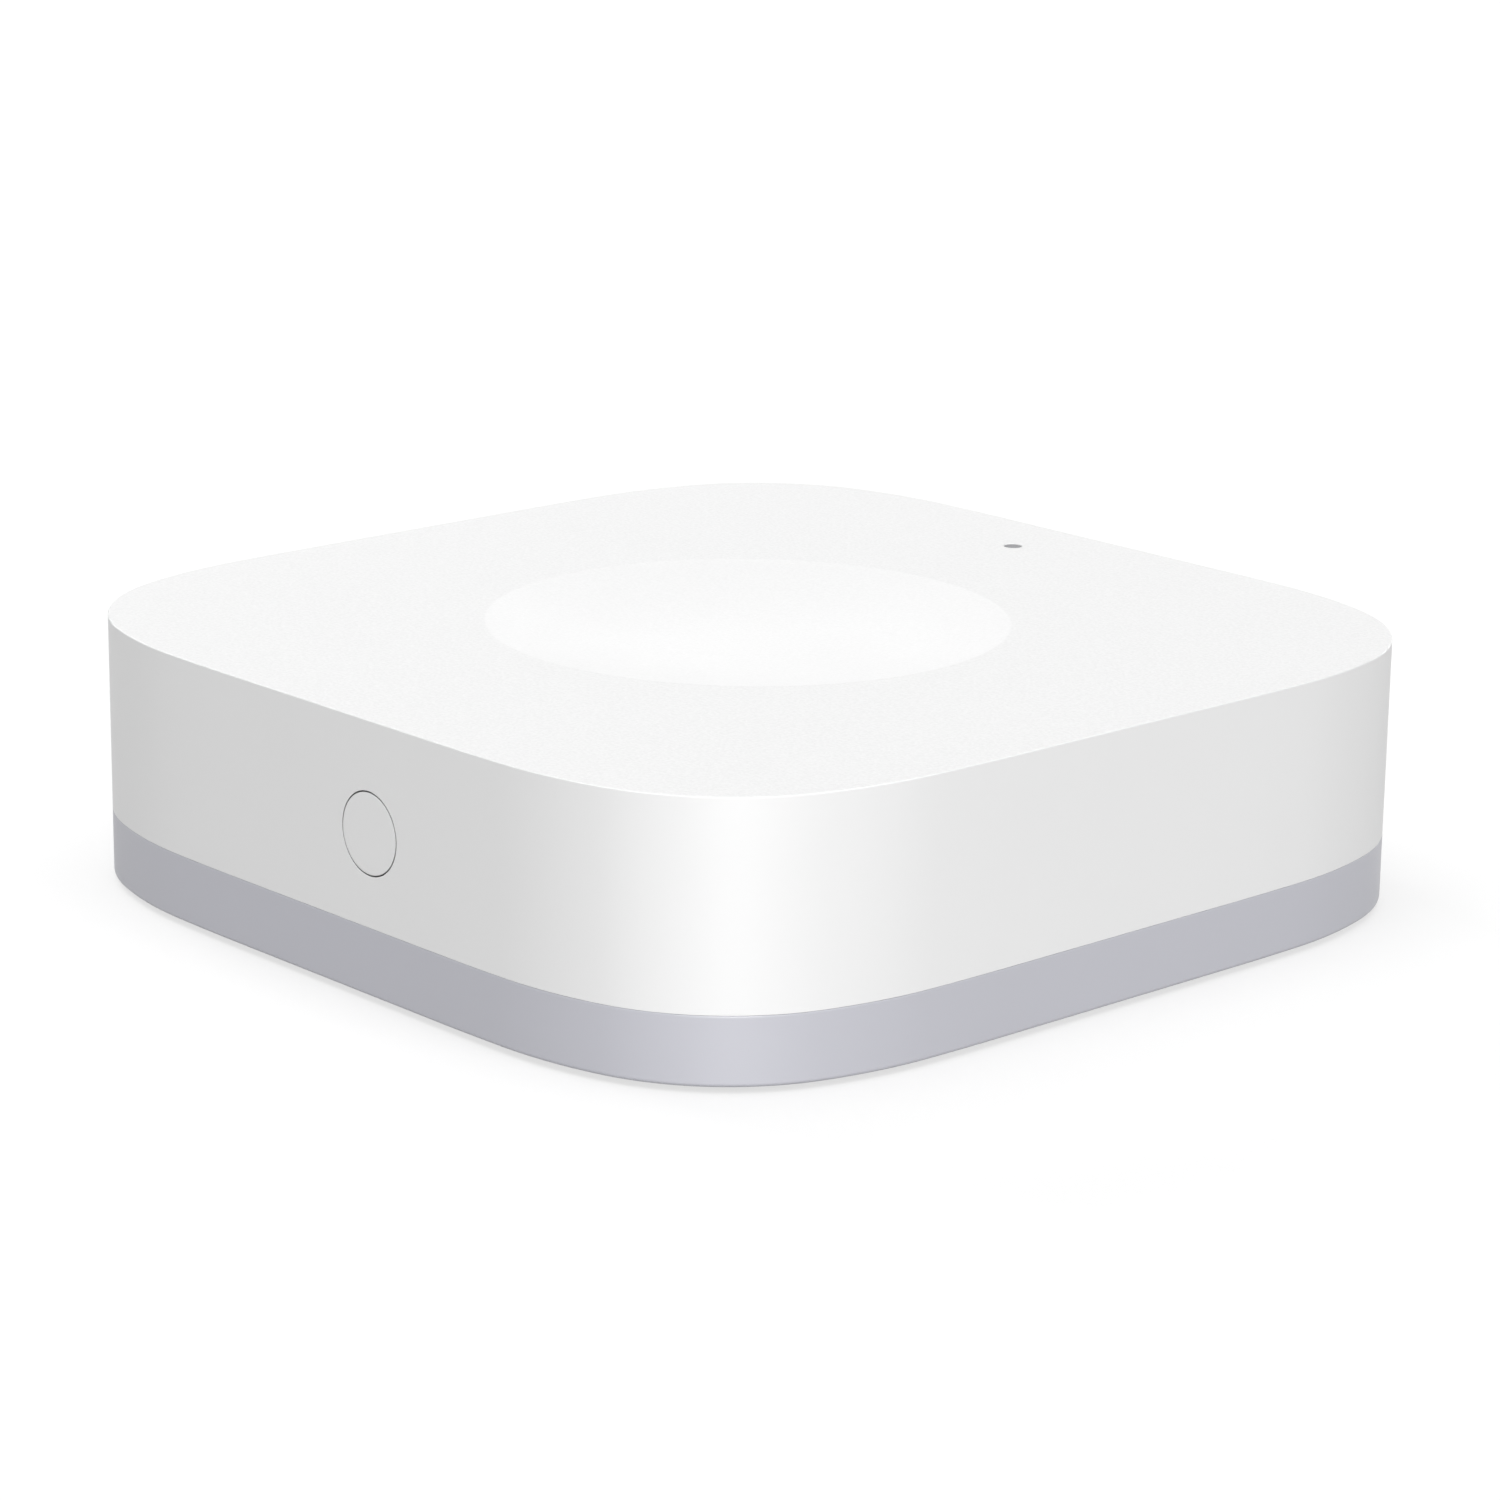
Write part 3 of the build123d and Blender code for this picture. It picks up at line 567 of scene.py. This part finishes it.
# ------------------------------------------------------------------ base shell
def build_base():
    br, mr = 0.3, 0.04
    rings = [circle_ring(4.0, Z_BOT)]
    outer = ring(br, Z_BOT)
    rings += [between(rings[0], outer, t) for t in (0.4, 0.8, 0.985, 1.0)]
    for i in range(1, 13):
        a = math.pi / 2 * i / 12
        rings.append(ring(br - br * math.sin(a), Z_BOT + br - br * math.cos(a)))
    rings += [ring(0.0, z) for z in (0.78, 3.2, 5.3, Z_PART - mr)]
    rings += [ring(mr * 0.3, Z_PART - mr * 0.3), ring(mr, Z_PART), ring(2.1, Z_PART)]
    rings += [ring(2.1, LIP_TOP - 0.2), ring(2.3, LIP_TOP), ring(3.2, LIP_TOP), ring(BASE_WALL, LIP_TOP - 0.1)]
    rings += [ring(BASE_WALL, 4.0), ring(BASE_WALL, Z_FLOOR)]
    inner = rings[-1]
    rings += [between(inner, circle_ring(4.0, Z_FLOOR), t) for t in (0.5, 1.0)]
    o = to_object(loft(rings, first=Vector((0, 0, Z_BOT)), last=Vector((0, 0, Z_FLOOR))), "base_tray_moulding")
    add = []
    for x, y in CORNERS:
        add.append(lathe([(4.0, Z_FLOOR - 0.2), (4.0, 7.3), (3.9, 7.4)], (x, y, 0), n=60))
    for x in (-18.0, 18.0):
        add.append(lathe([(1.5, Z_FLOOR - 0.2), (1.5, 5.2), (1.3, 5.4)], (x, 0, 0), n=36))
    combine(o, add, "UNION")
    cut = []
    f = 0.12
    flare = lambda r: [(r + f, -1.0)] + [(r + f - c, Z_BOT + f - s) for c, s in reversed(fillet_arc(f, 4, 0.0, 90.0))]
    for x, y in CORNERS:
        cut.append(lathe(flare(5.15) + [(5.15, Z_BOT + 0.8)], (x, y, 0), n=96))
        cut.append(lathe([(2.7, 0.9), (2.7, 4.0)], (x, y, 0), n=60))
        cut.append(lathe([(1.45, 3.8), (1.45, 8.0)], (x, y, 0), n=48))
    for i in range(9):
        for y in (-23.5, 23.5):
            x = (i - 4) * 4.0
            levels = [(rounded(1.6 + 2 * f, 10.0 + 2 * f, 0.799 + f, 10), -1.0)]
            for c, s in reversed(fillet_arc(f, 4, 0.0, 90.0)):
                g = 2 * (f - c)
                levels.append((rounded(1.6 + g, 10.0 + g, 0.799 + g / 2, 10), Z_BOT + f - s))
            levels.append((rounded(1.6, 10.0, 0.799, 10), 4.0))
            cut.append(prism(levels, lambda u, v, h, x=x, y=y: (x + u, y + v, h)))
    cut.append(prism([(rounded(46.0, 26.0, 1.5, 8), -1.0), (rounded(46.0, 26.0, 1.5, 8), Z_BOT + 0.15)], lambda u, v, h: (u, v, h)))
    combine(o, cut, "DIFFERENCE")
    return finish_piece(o, MATERIALS["base_grey_blue"], "housing", "base_shell")


# ------------------------------------------------------------------ button and light pipe
def build_button():
    f = 0.04
    p = [(0.6, -HALF)]
    p += [(1.6, -HALF), (2.6, -HALF)]
    p += [(3.0 - f + s, -HALF + f - c) for c, s in fillet_arc(f, 7, 0.0, 90.0)]
    p += [(3.0, -38.0), (3.0, -35.58), (3.84, -35.58), (3.9, -35.52), (3.9, -34.66), (3.84, -34.6), (2.1, -34.6), (2.1, -38.6), (1.3, -38.6), (1.3, -33.1), (1.22, -33.02), (0.5, -33.02)]
    o = to_object(lathe(p, (BTN_X, 0, BTN_Z), "y", n=128), "push_button_cap")
    return finish_piece(o, MATERIALS["button_white"], "button", "side_button")


def build_pipe():
    top = Z_TOP - 0.03
    p = [(0.4, 10.95), (1.12, 10.95), (1.2, 11.03), (1.2, 18.52), (1.12, 18.6), (0.7, 18.6), (0.7, top - 0.06)]
    p += [(0.7 - 0.06 + 0.06 * math.cos(a), top - 0.06 + 0.055 * math.sin(a)) for a in (0.4, 0.8, 1.2)]
    p += [(0.60, top - 0.003), (0.25, top)]
    o = to_object(lathe(p, (LED_X, LED_Y, 0), n=64), "status_light_pipe")
    return finish_piece(o, MATERIALS["lens_smoke"], "housing", "light_pipe", angle=40.0)


def build_dome():
    """The switch's snap dome."""
    r, rise, t, steps = 1.45, 0.55, 0.08, 14
    big = (r * r + rise * rise) / (2 * rise)
    flat = big - rise
    outer = [(r * i / steps, flat - math.sqrt(big**2 - (r * i / steps) ** 2)) for i in range(1, steps + 1)]
    inner = [(r * i / steps, flat - math.sqrt((big - t) ** 2 - (r * i / steps) ** 2)) for i in range(steps, 0, -1)]
    o = to_object(lathe([(q, -28.69 + h) for q, h in outer + inner], (BTN_X, 0, BTN_Z), "y", n=72), "switch_snap_dome")
    finish_piece(o, MATERIALS["steel"], "housing", "switch_dome", angle=40.0)
    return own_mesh(o)


build_cover()
build_base()
build_button()
build_pipe()
build_dome()

slot_of = {s["node"]: s["material_slot"] for s in frame["record"]["subparts"]}
for name, obj in nodes.items():
    mat = MATERIALS[slot_of[name]]
    if not obj.data.materials:
        obj.data.materials.append(mat)
    for i in range(len(obj.material_slots)):
        obj.material_slots[i].material = mat

# ------------------------------------------------------------------ stage
floor_mesh = bpy.data.meshes.new("stage_floor")
bm = bmesh.new()
bmesh.ops.create_circle(bm, cap_ends=True, segments=96, radius=6.0)
bm.to_mesh(floor_mesh)
bm.free()
floor = bpy.data.objects.new("stage_floor", floor_mesh)
scene.collection.objects.link(floor)
fm = Nodes("stage_pale_floor")
fm.set(Base_Color=(0.32, 0.32, 0.32), Roughness=0.9)
fm.bsdf.inputs["Emission Color"].default_value = (1.0, 1.0, 1.0, 1.0)
fm.bsdf.inputs["Emission Strength"].default_value = 0.65
fm.bsdf.inputs["Specular IOR Level"].default_value = 0.1
floor_mesh.materials.append(fm.mat)
floor.visible_diffuse = False

world = bpy.data.worlds.new("studio")
scene.world = world
world.use_nodes = True
bg = next(n for n in world.node_tree.nodes if n.type == "BACKGROUND")
bg.inputs["Color"].default_value = (1.0, 1.0, 1.0, 1.0)
WORLD = 0.0674
bg.inputs["Strength"].default_value = WORLD


def soft_light(name, azimuth, elevation, distance, width, height, power, target=(0.0, 0.0, 0.012)):
    """Rectangular softbox. Azimuth 0 stands on the -Y side and 90 on the +X side."""
    a, e = math.radians(azimuth), math.radians(elevation)
    back = Vector((math.sin(a) * math.cos(e), -math.cos(a) * math.cos(e), math.sin(e)))
    data = bpy.data.lights.new(name, "AREA")
    data.shape = "RECTANGLE"
    data.size, data.size_y = width, height
    data.energy = power
    o = bpy.data.objects.new(name, data)
    o.rotation_mode = "QUATERNION"
    o.location = Vector(target) + back * distance
    o.rotation_quaternion = (-back).to_track_quat("-Z", "Y")
    scene.collection.objects.link(o)
    return o


LIGHTS = [
    soft_light("overhead", 0.0, 88.0, 1.2, 1.6, 1.6, 14.3),
    soft_light("high_right_rear", 137.0, 55.0, 1.3, 0.8, 0.8, 0.60),
    soft_light("left_side", -90.0, 25.0, 1.3, 0.6, 0.7, 7.10),
    soft_light("front_strip", 0.0, 25.0, 1.2, 0.35, 0.7, 2.50),
    soft_light("right_strip", 100.0, 25.0, 1.2, 0.35, 0.7, 3.46),
    soft_light("corner_low_1", 48.0, 4.0, 1.2, 0.18, 0.30, 6.33),
    soft_light("corner_low_2", 56.0, 4.0, 1.2, 0.18, 0.30, 6.68),
    soft_light("back_low", 227.0, 15.0, 1.5, 1.2, 0.5, 3.62),
    soft_light("rear_fill", 188.0, 6.0, 1.5, 1.0, 0.28, 5.0),
]
